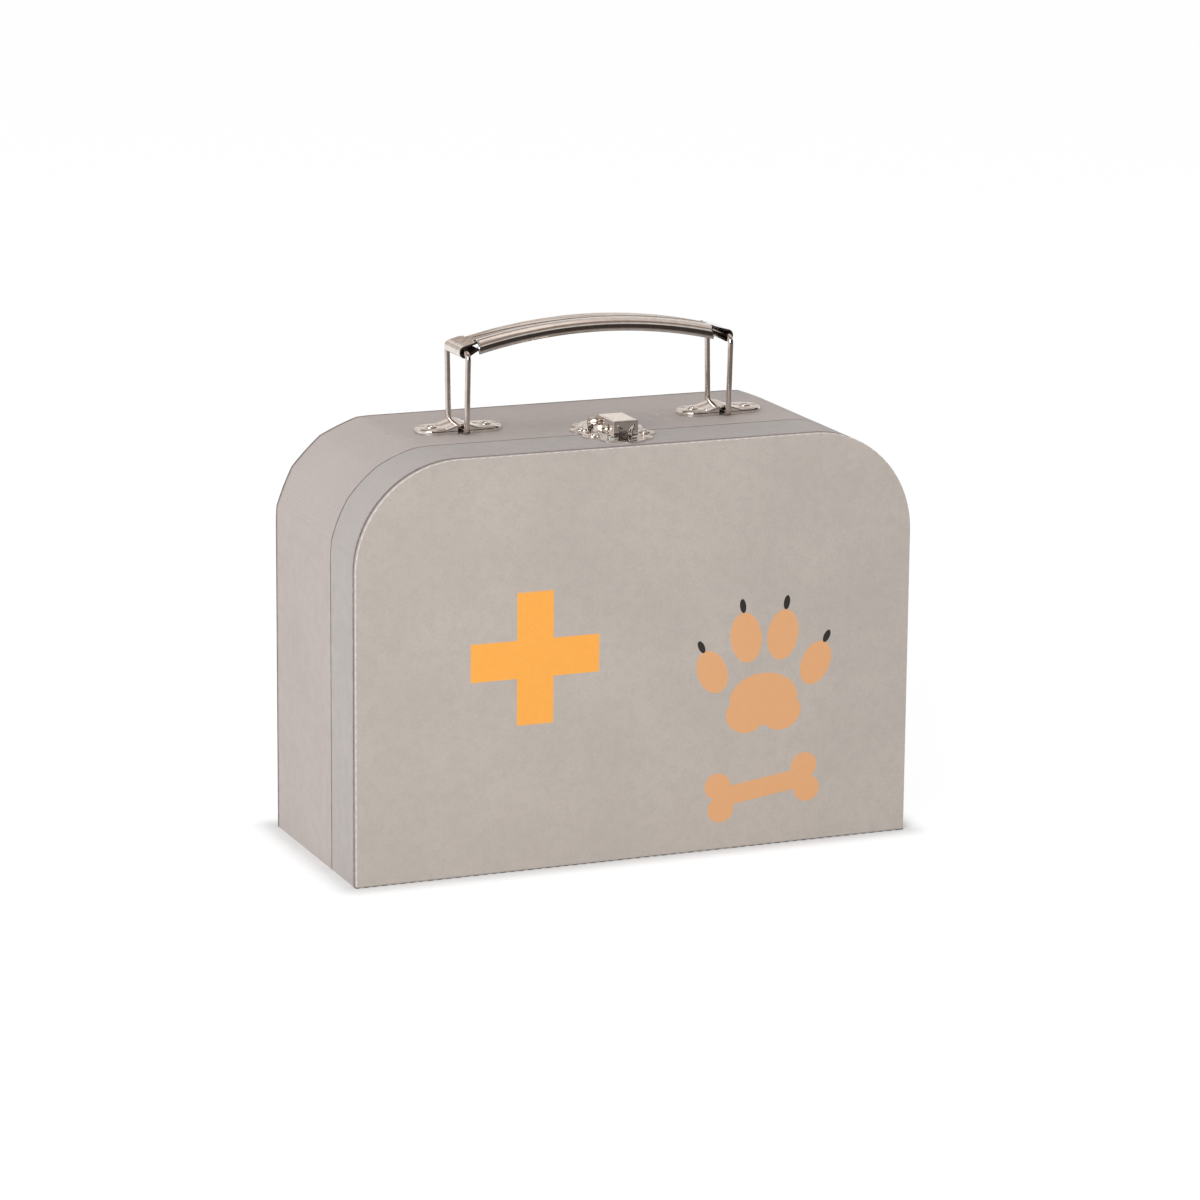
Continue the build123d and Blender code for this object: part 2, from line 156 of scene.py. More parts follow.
class Recipe:
    """The nodes of one material or of the room's light, written as short sums."""

    def __init__(self, tree):
        self.tree = tree
        self.place = None

    def node(self, kind, **settings):
        made = self.tree.nodes.new(kind)
        for name, value in settings.items():
            setattr(made, name, value)
        return made

    def feed(self, socket, value):
        if isinstance(value, bpy.types.NodeSocket):
            self.tree.links.new(value, socket)
        else:
            socket.default_value = value

    def sum(self, operation, *values):
        made = self.node("ShaderNodeMath", operation=operation)
        for socket, value in zip(made.inputs, values):
            self.feed(socket, value)
        return made.outputs[0]

    def vector(self, operation, *values):
        made = self.node("ShaderNodeVectorMath", operation=operation)
        for socket, value in zip(made.inputs, values):
            self.feed(socket, value)
        return made

    def step(self, value, low, high, to_low=0.0, to_high=1.0):
        made = self.node("ShaderNodeMapRange", interpolation_type="SMOOTHSTEP")
        for socket, each in zip(made.inputs, (value, low, high, to_low, to_high)):
            self.feed(socket, each)
        return made.outputs[0]

    def mix(self, share, *colours):
        """A mix of two colours."""
        made = self.node("ShaderNodeMix", data_type="RGBA")
        self.feed(made.inputs[0], share)
        for socket, colour in zip([c for c in made.inputs if c.type == "RGBA"], colours):
            if not isinstance(colour, bpy.types.NodeSocket):
                colour = (*colour, 1)
            self.feed(socket, colour)
        return [c for c in made.outputs if c.type == "RGBA"][0]

    def stain(self, colour, mask, strength, other):
        """Lay another colour over this one where the mask is."""
        return self.mix(self.sum("MULTIPLY", mask, strength), colour, other)

    def blend(self, share, one, other):
        """A mix of two shaders."""
        made = self.node("ShaderNodeMixShader")
        self.feed(made.inputs[0], share)
        self.tree.links.new(one.outputs[0], made.inputs[1])
        self.tree.links.new(other.outputs[0], made.inputs[2])
        return made

    def rays(self):
        """The light's path, and whether it is seen straight, in a mirror or through glass."""
        path = self.node("ShaderNodeLightPath").outputs
        seen = self.sum("MAXIMUM", path["Is Camera Ray"], path["Is Glossy Ray"])
        return path, self.sum("MAXIMUM", seen, path["Is Transmission Ray"])

    def ahead(self, x, y):
        """How far a way or a place leads to the unlit front right of the room."""
        return self.sum("ADD", self.sum("MULTIPLY", x, 0.46), self.sum("MULTIPLY", y, -0.89))

    def past(self, way, edge):
        """How far out past the case's edge a place lies on one axis."""
        return self.sum("MAXIMUM", self.sum("SUBTRACT", self.sum("ABSOLUTE", way), edge), 0.0)

    def where(self):
        if self.place is None:
            self.place = self.node("ShaderNodeTexCoord").outputs["Object"]
        return self.place

    def axes(self):
        return self.node_outputs(self.node("ShaderNodeSeparateXYZ"), self.where())

    def node_outputs(self, made, value):
        self.feed(made.inputs[0], value)
        return made.outputs

    def noise(self, size, detail=2.0, rough=0.5, stretch=(1, 1, 1)):
        """Noise with blotches of about this size in metres."""
        spread = self.vector("MULTIPLY", self.where(), stretch).outputs[0]
        made = self.node("ShaderNodeTexNoise")
        self.feed(made.inputs["Vector"], spread)
        made.inputs["Scale"].default_value = 1 / size
        made.inputs["Detail"].default_value = detail
        made.inputs["Roughness"].default_value = rough
        return made.outputs["Fac"]

    def local(self, centre, halves, turn=0.0, plane="XZ"):
        """The place measured from a figure's centre, in its own half sizes."""
        made = self.node("ShaderNodeMapping", vector_type="TEXTURE")
        self.feed(made.inputs["Vector"], self.where())
        a, b = centre
        c, d = halves
        far = 1000.0
        if plane == "XZ":
            spot, size, angle = (a, 0, b), (c, far, d), (0, turn, 0)
        else:
            spot, size, angle = (a, b, 0), (c, d, far), (0, 0, turn)
        made.inputs["Location"].default_value = [v * mm for v in spot]
        made.inputs["Rotation"].default_value = angle
        made.inputs["Scale"].default_value = [v * mm for v in size]
        return made.outputs[0]

    def oval(self, centre, halves, turn=0.0, soft=0.02, plane="XZ"):
        far = self.vector("LENGTH", self.local(centre, halves, turn, plane)).outputs["Value"]
        return self.step(far, 1 + soft, 1 - soft)

    def block(self, centre, halves, turn=0.0, soft=0.02):
        near = self.vector("ABSOLUTE", self.local(centre, halves, turn)).outputs[0]
        parts = self.node_outputs(self.node("ShaderNodeSeparateXYZ"), near)
        return self.step(self.sum("MAXIMUM", parts[0], parts[2]), 1 + soft, 1 - soft)

    def either(self, *masks):
        found = masks[0]
        for mask in masks[1:]:
            found = self.sum("MAXIMUM", found, mask)
        return found


def light_room():
    world = bpy.data.worlds.new("studio")
    world.use_nodes = True
    bpy.context.scene.world = world
    tree = world.node_tree
    tree.nodes.clear()
    make = Recipe(tree)
    path, seen = make.rays()
    ways = make.node_outputs(make.node("ShaderNodeSeparateXYZ"),
                             make.node("ShaderNodeTexCoord").outputs["Generated"])
    rise = ways[2]
    white, unlit = (1, 1, 1), (0.05, 0.038, 0.033)
    bright_band, dim_band = (0.86, 0.80, 0.75), (0.34, 0.26, 0.22)
    low_ceiling, high_ceiling = (0.30, 0.235, 0.20), (0.66, 0.58, 0.53)
    # polished metal shows the room: white below, unlit at the front and right, with a warm
    # wall of bright and dim bands behind and a broad beige ceiling
    ahead = make.ahead(ways[0], ways[1])
    dark = make.sum("MULTIPLY", make.step(ahead, 0.02, 0.38), make.step(rise, 0.66, 0.5))
    behind = make.sum("MULTIPLY", make.step(ahead, 0.1, -0.3), make.step(rise, 0.56, 0.40))
    bands = make.sum("SINE", make.sum("ADD", make.sum("MULTIPLY", rise, 38), 2.2))
    wall_tone = make.mix(make.step(bands, 0.1, 0.95), bright_band, dim_band)
    above = make.mix(make.step(rise, 0.90, 0.97), low_ceiling, high_ceiling)
    shown = make.mix(make.step(rise, 0.60, 0.76), white, above)
    shown = make.mix(make.sum("MULTIPLY", behind, make.step(rise, 0.02, 0.08)), shown, wall_tone)
    shown = make.mix(dark, shown, unlit)
    shown = make.mix(path["Is Camera Ray"], shown, white)
    wall = make.node("ShaderNodeBackground")
    make.feed(wall.inputs["Color"], shown)
    even = make.node("ShaderNodeBackground")
    even.inputs["Color"].default_value = (0.98, 0.99, 1.0, 1)
    even.inputs["Strength"].default_value = 0.59
    both = make.blend(seen, even, wall)
    tree.links.new(both.outputs[0], make.node("ShaderNodeOutputWorld").inputs[0])


light_room()


def lay_floor():
    half_side = 6
    glow_strength, thinness = 0.8, 0.45
    shape = bmesh.new()
    bmesh.ops.create_grid(shape, x_segments=1, y_segments=1, size=half_side)
    mesh = bpy.data.meshes.new("floor")
    shape.to_mesh(mesh)
    shape.free()
    floor = bpy.data.objects.new("floor", mesh)
    bpy.context.scene.collection.objects.link(floor)
    sweep = bpy.data.materials.new("floor_paper")
    sweep.use_nodes = True
    tree = sweep.node_tree
    tree.nodes.clear()
    make = Recipe(tree)
    path, seen = make.rays()
    matt = make.node("ShaderNodeBsdfDiffuse")
    matt.inputs["Color"].default_value = (0.9, 0.9, 0.9, 1)
    part = make.node("ShaderNodeBsdfDiffuse")
    glow = make.node("ShaderNodeEmission")
    x, y, _ = make.axes()
    far = make.vector("LENGTH", make.where()).outputs["Value"]
    off_paper = make.sum("MULTIPLY", make.step(far, 0.15, 0.5),
                         make.step(make.sum("DIVIDE", make.ahead(x, y), far), 0.0, 0.4))
    # polished metal sees the floor end towards the unlit front right
    off_paper = make.sum("MULTIPLY", off_paper, path["Is Glossy Ray"])
    make.feed(glow.inputs["Color"], make.mix(off_paper, (1, 1, 1), (0.14, 0.105, 0.09)))
    # the paper shades by itself where the case stands, and is evenly white further off
    out_x, out_y = make.past(x, half_width * mm), make.past(y, back_y * mm)
    off = make.sum("SQRT", make.sum("ADD", make.sum("MULTIPLY", out_x, out_x),
                                    make.sum("MULTIPLY", out_y, out_y)))
    clean = make.step(off, 0.0005, 0.012)
    make.feed(glow.inputs["Strength"], make.sum("MULTIPLY", clean, glow_strength))
    make.feed(part.inputs["Color"], make.mix(clean, (0.95, 0.95, 0.95), (0.30, 0.295, 0.29)))
    lit = make.node("ShaderNodeAddShader")
    tree.links.new(part.outputs[0], lit.inputs[0])
    tree.links.new(glow.outputs[0], lit.inputs[1])
    # thin to the eye, so that an open lid shows where it hangs below the table's edge
    clear = make.node("ShaderNodeBsdfTransparent")
    both = make.blend(seen, matt, make.blend(make.sum("MULTIPLY", clean, thinness), lit, clear))
    tree.links.new(both.outputs[0], make.node("ShaderNodeOutputMaterial").inputs[0])
    mesh.materials.append(sweep)


lay_floor()


# Finishes, each with its own nodes
def finish_of(name, metal=0.0, sheen=0.0):
    made = bpy.data.materials.new(name)
    made.use_nodes = True
    shader = made.node_tree.nodes["Principled BSDF"]
    shader.inputs["Metallic"].default_value = metal
    shader.inputs["Sheen Weight"].default_value = sheen
    return made, Recipe(made.node_tree), shader


def raise_surface(make, shader, relief, strength, depth):
    bump = make.node("ShaderNodeBump")
    bump.inputs["Strength"].default_value = strength
    bump.inputs["Distance"].default_value = depth
    make.feed(bump.inputs["Height"], relief)
    make.feed(shader.inputs["Normal"], bump.outputs[0])


def woven_print(make, pitch=0.00062):
    """The fine woven grain of the cover paper, the same on every side of the case."""
    x, y, z = make.axes()
    drift = make.sum("MULTIPLY", make.noise(0.004, 2.0), 0.0011)
    threads = []
    for way in (x, y, z):
        along = make.sum("ADD", way, drift)
        threads.append(make.sum("SINE", make.sum("MULTIPLY", along, 2 * pi / pitch)))
    weave = make.sum("ADD", make.sum("ADD", threads[0], threads[1]), threads[2])
    slubs = make.noise(0.0007, 3.0, 0.65)
    return make.sum("ADD", make.sum("MULTIPLY", weave, 0.075), slubs)


def board_tone(make, tone, grain):
    """The paper's colour with its grain, its cloudiness and faint warm flecks."""
    cloud = make.noise(0.035, 3.0, 0.5)
    fine = make.noise(0.0016, 2.0, 0.6)
    light = tuple(min(c * 1.06, 1) for c in tone)
    dark = tuple(c * 0.99 for c in tone)
    colour = make.mix(make.step(cloud, 0.3, 0.7), dark, light)
    colour = make.mix(make.step(grain, 0.3, 0.75, 0.0, 0.6), colour,
                      tuple(c * 0.84 for c in tone))
    warm = (tone[0] * 1.03, tone[1] * 0.985, tone[2] * 0.95)
    return make.mix(make.step(fine, 0.52, 0.75, 0.0, 0.5), colour, warm)


# Painted shade, shadow and highlight, and real scuffs, on the cover paper
groove_shade_tone = (0.27, 0.215, 0.20)
groove_shadow_tone = (0.11, 0.08, 0.07)
notch_shade_tone = (0.05, 0.035, 0.03)
seam_gap_shade_tone = (0.11, 0.08, 0.075)
scuff_tone = (0.76, 0.70, 0.68)
edge_highlight_tone = (0.66, 0.60, 0.56)
edge_side_shade_tone = (0.42, 0.35, 0.33)
foot_shadow_tone = (0.06, 0.05, 0.045)


def finish_paper(make, shader, colour, grain, smooth, matt):
    make.feed(shader.inputs["Base Color"], colour)
    rough = make.step(make.noise(0.006, 3.0), 0.3, 0.7, smooth, matt)
    make.feed(shader.inputs["Roughness"], rough)
    raise_surface(make, shader, grain, 0.22, 0.00006)


def covered_board(name, tone, edge_y, scuffs=False):
    """The cover paper of a rim, whose sewn edge is at edge_y."""
    made, make, shader = finish_of(name)
    grain = woven_print(make)
    colour = board_tone(make, tone, grain)
    x, y, z = make.axes()
    # beside the panel, where the seam pinches the rim, painted shade darkens a band and a line next
    # to the edge
    way = 1 if edge_y > 0 else -1
    reach = make.sum("MULTIPLY", make.sum("SUBTRACT", edge_y * mm, y), way)
    groove_shade_depth = make.sum("ADD", reach, make.sum("MULTIPLY", make.noise(0.0012, 2.0), 0.0012))
    colour = make.stain(colour, make.step(groove_shade_depth, 0.0034, 0.0014), 0.4, groove_shade_tone)
    colour = make.stain(colour, make.step(groove_shade_depth, 0.0021, 0.0013), 0.85, groove_shadow_tone)
    # painted shade where the flange under the seam is notched at each scored fold
    corner = make.sum("ARCTAN2", make.sum("SUBTRACT", z, shoulder_z * mm),
                      make.sum("SUBTRACT", make.sum("ABSOLUTE", x), shoulder_x * mm))
    fold = make.sum("ABSOLUTE", make.sum("SINE", make.sum("MULTIPLY", corner, 4)))
    on_bend = make.sum("MULTIPLY", make.step(corner, 0.15, 0.2), make.step(corner, 1.42, 1.37))
    notch_shade = make.sum("MULTIPLY", make.step(fold, 0.991, 0.998), on_bend)
    notch_shade = make.sum("MULTIPLY", notch_shade, make.step(reach, 0.0010, 0.0006))
    colour = make.mix(notch_shade, colour, notch_shade_tone)
    # painted shade along the seam's gap: the cut edges of the rims are darkened there
    seam_gap_shade = make.sum("ABSOLUTE", make.sum("SUBTRACT", y, seam_y * mm))
    seam_gap_shade = make.sum("ADD", seam_gap_shade, make.sum("MULTIPLY", make.noise(0.004, 2.0), 0.0004))
    colour = make.stain(colour, make.step(seam_gap_shade, 0.0008, 0.0004), 0.7, seam_gap_shade_tone)
    if scuffs:
        marks = make.either(*[
            make.oval(centre, halves, radians(turn), 0.5, "XY") for centre, halves, turn in (
                ((26.2, 14.4), (0.9, 4.2), 12), ((27.6, 8.0), (0.8, 3.0), -8),
                ((27.0, -1.0), (0.9, 2.6), 24), ((22.0, 1.5), (0.6, 2.2), 35))])
        marks = make.sum("MULTIPLY", marks, make.step(make.noise(0.0016, 3.0, 0.7), 0.46, 0.6))
        marks = make.sum("MULTIPLY", marks, make.step(z, 0.1480, 0.1485))
        colour = make.stain(colour, marks, 0.8, scuff_tone)
    finish_paper(make, shader, colour, grain, 0.52, 0.64)
    return made


def edge_highlight_and_shade(make, colour, skin_y):
    """Painted highlight where the paper turns over a panel's rounded edge, and painted shade on the
    panel's side under it.
    """
    way = 1 if skin_y > 0 else -1
    y = make.axes()[1]

    def depth(low, high):
        return make.step(y, (skin_y - way * low) * mm, (skin_y - way * high) * mm)

    colour = make.stain(colour, depth(0.04, 0.18), 0.75, edge_highlight_tone)
    return make.stain(colour, depth(0.38, 0.60), 0.85, edge_side_shade_tone)


def printed_front(name, tone):
    """The lid's cover paper, with a cross, a paw print and a bone printed on it."""
    made, make, shader = finish_of(name)
    grain = woven_print(make)
    colour = board_tone(make, tone, grain)
    ink_grain = make.step(grain, 0.2, 0.85, 0.0, 0.16)
    orange, peach, black = (1.0, 0.42, 0.055), (0.78, 0.395, 0.175), (0.012, 0.008, 0.007)
    cross = [make.block((-38.8, 76.6), (6.8, 23.75)), make.block((-38.8, 76.5), (24.0, 6.8))]
    paw = [make.oval(centre, halves, radians(turn)) for centre, halves, turn in (
        ((48.5, 54.0), (13.2, 9.6), 0), ((41.2, 48.4), (7.4, 6.2), 18),
        ((55.8, 48.4), (7.4, 6.2), -18), ((28.4, 65.6), (5.6, 8.2), -24),
        ((41.4, 77.0), (6.0, 9.2), -8), ((55.6, 77.0), (6.0, 9.2), 8),
        ((68.6, 65.6), (5.6, 8.2), 24))]
    bone = [make.block((48.5, 21.5), (17.0, 3.5), radians(-8), 0.04)]
    bone += [make.oval(knob, (5.0, 4.8)) for knob in (
        (31.1, 23.4), (32.3, 14.9), (64.7, 28.1), (65.9, 19.6))]
    claws = [make.oval(centre, halves, radians(turn)) for centre, halves, turn in (
        ((24.2, 75.0), (1.2, 2.4), -26), ((40.0, 88.6), (1.2, 2.6), -8),
        ((57.0, 88.6), (1.2, 2.6), 8), ((72.8, 75.0), (1.2, 2.4), 26))]
    for ink, figure in ((orange, cross), (peach, paw), (peach, bone), (black, claws)):
        shade = make.mix(ink_grain, ink, tuple(c * 0.72 for c in ink))
        colour = make.stain(colour, make.either(*figure), 0.97, shade)
    # painted highlight and shade at the panel's edge
    colour = edge_highlight_and_shade(make, colour, front_y)
    # painted shadow on the lowest part of the panel, next to the floor
    foot = make.step(make.axes()[2], 0.0007, 0.0003)
    colour = make.stain(colour, foot, 0.85, foot_shadow_tone)
    finish_paper(make, shader, colour, grain, 0.50, 0.60)
    return made


def plain_back(name, tone):
    made, make, shader = finish_of(name)
    grain = woven_print(make)
    # the back panel's edge gets painted highlight and shade
    colour = edge_highlight_and_shade(make, board_tone(make, tone, grain), back_y)
    finish_paper(make, shader, colour, grain, 0.50, 0.60)
    return made


def lens_bow():
    return (lens_half_length ** 2 + lens_half_width ** 2) / (2 * lens_half_width)


def nickel_plate(name, tone, rough=(0.07, 0.14), brushed=(1, 1, 1), relief=0.0, lens=False):
    """Polished nickel with fine polishing lines and faint clouding."""
    made, make, shader = finish_of(name, metal=1.0)
    cloud = make.noise(0.003, 3.0, 0.6)
    lines = make.noise(0.0006, 2.0, 0.6, brushed)
    dull = tuple(c * 0.84 for c in tone)
    colour = make.mix(make.step(cloud, 0.35, 0.75), tone, dull)
    if lens:
        # painted shade in the pressed line round the lens
        x, y, z = make.axes()
        bow = lens_bow()
        side = make.sum("SUBTRACT", (bow * mm) ** 2, make.sum("MULTIPLY", x, x))
        side = make.sum("SUBTRACT", make.sum("SQRT", side), (bow - lens_half_width) * mm)
        away = make.sum("ABSOLUTE", make.sum("SUBTRACT", y, handle_y * mm))
        line = make.sum("ABSOLUTE", make.sum("SUBTRACT", away, make.sum("ADD", side, 0.0001)))
        on_top = make.step(z, 0.1790, 0.1800)
        lens_groove_shade = make.sum("MULTIPLY", make.step(line, 0.00034, 0.00012), on_top)
        colour = make.stain(colour, lens_groove_shade, 0.8, (0.10, 0.075, 0.065))
    make.feed(shader.inputs["Base Color"], colour)
    make.feed(shader.inputs["Roughness"], make.step(lines, 0.3, 0.7, *rough))
    height_map = make.sum("ADD", make.sum("MULTIPLY", cloud, 0.8), make.sum("MULTIPLY", lines, 0.2))
    strength, depth = 0.3, 0.000015
    if relief:
        # shallow wavy pressing round the plate, as deep as its sheet allows
        strength, depth = 0.5, 0.0001
        x, y, _ = make.axes()
        out = make.vector("LENGTH", make.local((0, seam_y), (1, 1), 0.0, "XY")).outputs["Value"]
        round_it = make.sum("ARCTAN2", x, make.sum("SUBTRACT", y, seam_y * mm))
        ripple = make.sum("MULTIPLY", make.sum("SINE", make.sum("MULTIPLY", round_it, 18)), 0.6)
        waves = make.sum("SINE", make.sum("ADD", make.sum("MULTIPLY", out, 1.9), ripple))
        height_map = make.sum("ADD", height_map, make.sum("MULTIPLY", waves, relief))
    raise_surface(make, shader, height_map, strength, depth)
    return made


def inside_shade_steel(name):
    """The unpolished inside of a pressing, painted near-black as the shade it lies in."""
    made, make, shader = finish_of(name, metal=1.0)
    cloud = make.noise(0.002, 3.0, 0.6)
    colour = make.mix(make.step(cloud, 0.35, 0.75), (0.10, 0.08, 0.07), (0.05, 0.04, 0.035))
    make.feed(shader.inputs["Base Color"], colour)
    make.feed(shader.inputs["Roughness"], make.step(cloud, 0.3, 0.7, 0.45, 0.65))
    raise_surface(make, shader, cloud, 0.3, 0.00003)
    return made


def lining_paper(name):
    made, make, shader = finish_of(name)
    fibres = make.noise(0.0011, 4.0, 0.7)
    cloud = make.noise(0.03, 2.0)
    colour = make.mix(make.step(cloud, 0.3, 0.7), (0.83, 0.80, 0.75), (0.78, 0.745, 0.69))
    colour = make.mix(make.step(fibres, 0.5, 0.8, 0.0, 0.4), colour, (0.70, 0.65, 0.58))
    make.feed(shader.inputs["Base Color"], colour)
    make.feed(shader.inputs["Roughness"], make.step(fibres, 0.3, 0.7, 0.7, 0.85))
    raise_surface(make, shader, fibres, 0.3, 0.00008)
    return made


def bookcloth(name):
    made, make, shader = finish_of(name, sheen=0.25)
    weave = woven_print(make, 0.0009)
    colour = make.mix(make.step(weave, 0.2, 0.85), (0.46, 0.40, 0.37), (0.33, 0.285, 0.26))
    make.feed(shader.inputs["Base Color"], colour)
    make.feed(shader.inputs["Roughness"], make.step(weave, 0.2, 0.9, 0.75, 0.9))
    raise_surface(make, shader, weave, 0.6, 0.00012)
    return made


def sewing_thread(name):
    made, make, shader = finish_of(name, sheen=0.3)
    ply = make.noise(0.0005, 2.0, 0.6)
    colour = make.mix(make.step(ply, 0.3, 0.7), (0.82, 0.77, 0.73), (0.62, 0.56, 0.52))
    make.feed(shader.inputs["Base Color"], colour)
    make.feed(shader.inputs["Roughness"], make.step(ply, 0.3, 0.7, 0.6, 0.8))
    raise_surface(make, shader, ply, 0.5, 0.0001)
    return made


front_tone = (0.492, 0.438, 0.394)
lid_tone = (0.499, 0.456, 0.434)
base_tone = (0.536, 0.471, 0.443)
nickel_tone = (0.80, 0.745, 0.70)

cover_front = printed_front("cover_paper_front", front_tone)
cover_back = plain_back("cover_paper_back", base_tone)
cover_lid = covered_board("cover_paper_lid_rim", lid_tone, front_y + board)
cover_base = covered_board("cover_paper_base_rim", base_tone, back_y - board, True)
paper = lining_paper("lining_paper")
cloth = bookcloth("hinge_bookcloth")
thread_look = sewing_thread("sewing_thread")
sheet_look = nickel_plate("nickel_sheet", nickel_tone)
grip_look = nickel_plate("nickel_grip", nickel_tone, (0.07, 0.15), (0.05, 1, 1), lens=True)
# a near-black finish that paints the shade inside the pressings
inside_shade_look = inside_shade_steel("painted_shade_inside")
wire_look = nickel_plate("nickel_wire", (0.66, 0.59, 0.54), (0.08, 0.15), (1, 1, 0.08))
hasp_look = nickel_plate("nickel_hasp", (0.94, 0.885, 0.83), (0.05, 0.09))
plate_look = nickel_plate("nickel_latch_plate", nickel_tone, (0.12, 0.2), relief=2.2)

looks = {
    "base_rim": cover_base, "base_back_panel": cover_back,
    "lid_rim": cover_lid, "lid_front_panel": cover_front,
    "base_rim_lining": paper, "base_back_lining": paper,
    "lid_rim_lining": paper, "lid_front_lining": paper,
    "hinge_strip_base": cloth, "hinge_strip_lid": cloth,
    "latch_catch_plate": plate_look, "latch_hinge_plate": plate_look,
    "latch_hasp": hasp_look, "latch_pin": wire_look,
    "loop_left": wire_look, "loop_right": wire_look,
}
for name, node in nodes.items():
    node.data.materials.clear()
    node.data.materials.append(looks.get(name, sheet_look))


# Pieces are drawn in millimetres, in the case's own frame
def keep(name, shape, body, look, stands_for=(), crease=40):
    bmesh.ops.remove_doubles(shape, verts=shape.verts, dist=0.0005)
    bmesh.ops.recalc_face_normals(shape, faces=shape.faces)
    bmesh.ops.scale(shape, vec=(mm, mm, mm), verts=shape.verts)
    mesh = bpy.data.meshes.new(name)
    shape.to_mesh(mesh)
    shape.free()
    # a copy of a CAD mesh brings shading normals that no longer fit its new shape
    old_normals = mesh.attributes.get("custom_normal")
    if old_normals:
        mesh.attributes.remove(old_normals)
    return keep_mesh(name, mesh, body, look, stands_for, crease)


def keep_mesh(name, mesh, body, look, stands_for=(), crease=40):
    mesh.polygons.foreach_set("use_smooth", [True] * len(mesh.polygons))
    mesh.set_sharp_from_angle(angle=radians(crease))
    mesh.materials.clear()
    mesh.materials.append(look)
    piece = bpy.data.objects.new(name, mesh)
    bpy.context.scene.collection.objects.link(piece)
    if body:
        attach(piece, body)
    if stands_for:
        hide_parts(*stands_for)
    return piece


def ease(value, low, high):
    """A smooth rise from 0 to 1 between low and high."""
    share = min(max((value - low) / (high - low), 0.0), 1.0)
    return share * share * (3 - 2 * share)


def edges_at(shape, test):
    return [e for e in shape.edges if all(test(v.co) for v in e.verts)]


def new_verts(made):
    return [g for g in made["geom"] if isinstance(g, bmesh.types.BMVert)]


def extrude_face(shape, face, by):
    made = bmesh.ops.extrude_face_region(shape, geom=[face])
    bmesh.ops.translate(shape, vec=by, verts=new_verts(made))


def round_off(shape, geom, size, steps, affect="EDGES"):
    bmesh.ops.bevel(shape, geom=geom, offset=size, offset_type="OFFSET", segments=steps,
                    profile=0.5, affect=affect, material=-1)


def join_part(shape, part):
    """Add a finished part to the shape it belongs to."""
    mesh = bpy.data.meshes.new("part")
    part.to_mesh(mesh)
    part.free()
    shape.from_mesh(mesh)
    bpy.data.meshes.remove(mesh)


# The two sewn panels
def make_panel(name, skin_y, way, inset, body, look, node):
    shape = bmesh.new()
    side, top = half_width - inset, height - inset
    places = ((-side, inset), (side, inset), (side, top), (-side, top))
    corners = [shape.verts.new((x, skin_y, z)) for x, z in places]
    shape.faces.new(corners)
    round_off(shape, corners[2:], shoulder_radius - inset, 28, "VERTICES")
    extrude_face(shape, shape.faces[:][0], (0, way * board, 0))
    rim = edges_at(shape, lambda p: abs(p.y - skin_y) < 0.01)
    round_off(shape, rim, panel_round, 4)
    keep(name, shape, body, look, [node])


make_panel("front_panel", front_y, 1, 0.0, "lid", cover_front, "lid_front_panel")
make_panel("back_panel", back_y, -1, back_inset, "case_base", cover_back, "base_back_panel")


def panel_edge(run, inset):
    """Place and direction on a panel's edge, this far along it from the left foot."""
    side = shoulder_z - inset
    reach = shoulder_radius - inset
    bend = reach * pi / 2
    top = 2 * shoulder_x
    if run < side:
        return (-half_width + inset, inset + run), pi / 2
    run -= side
    if run < bend:
        turn = run / reach
        return (-shoulder_x - reach * cos(turn), shoulder_z + reach * sin(turn)), pi / 2 - turn
    run -= bend
    if run < top:
        return (-shoulder_x + run, height - inset), 0.0
    run -= top
    if run < bend:
        turn = run / reach
        return (shoulder_x + reach * sin(turn), shoulder_z + reach * cos(turn)), -turn
    run -= bend
    if run < side:
        return (half_width - inset, shoulder_z - run), -pi / 2
    run -= side
    return (half_width - inset - run, inset), pi


def sew_panel(name, skin_y, way, set_in, body):
    inset = thread / 2 + 0.03 + set_in
    length = (2 * (shoulder_z - inset) + (shoulder_radius - inset) * pi + 2 * shoulder_x
              + 2 * (half_width - inset))
    count = round(length / stitch_pitch)
    shape = bmesh.new()
    for k in range(count):
        (x, z), turn = panel_edge((k + 0.5) * length / count, inset)
        if abs(x) > half_width - foot_clear and z < foot_clear:
            continue
        stitch = bmesh.ops.create_uvsphere(shape, u_segments=6, v_segments=5, radius=1)["verts"]
        lean = 0.05 * sin(k * 2.4)
        long = stitch_length * (1 + 0.05 * sin(k * 1.7)) / 2
        size = Matrix.Diagonal((thread / 2, thread / 2, long, 1))
        lie = Matrix.Rotation(pi / 2 - turn + lean, 4, "Y")
        spot = Matrix.Translation((x, skin_y + way * (thread / 2 + 0.02), z))
        bmesh.ops.transform(shape, matrix=spot @ lie @ size, verts=stitch)
    keep(name, shape, body, thread_look, crease=80)


sew_panel("front_stitches", front_y, 1, 0.0, "lid")
sew_panel("back_stitches", back_y, -1, back_inset, "case_base")


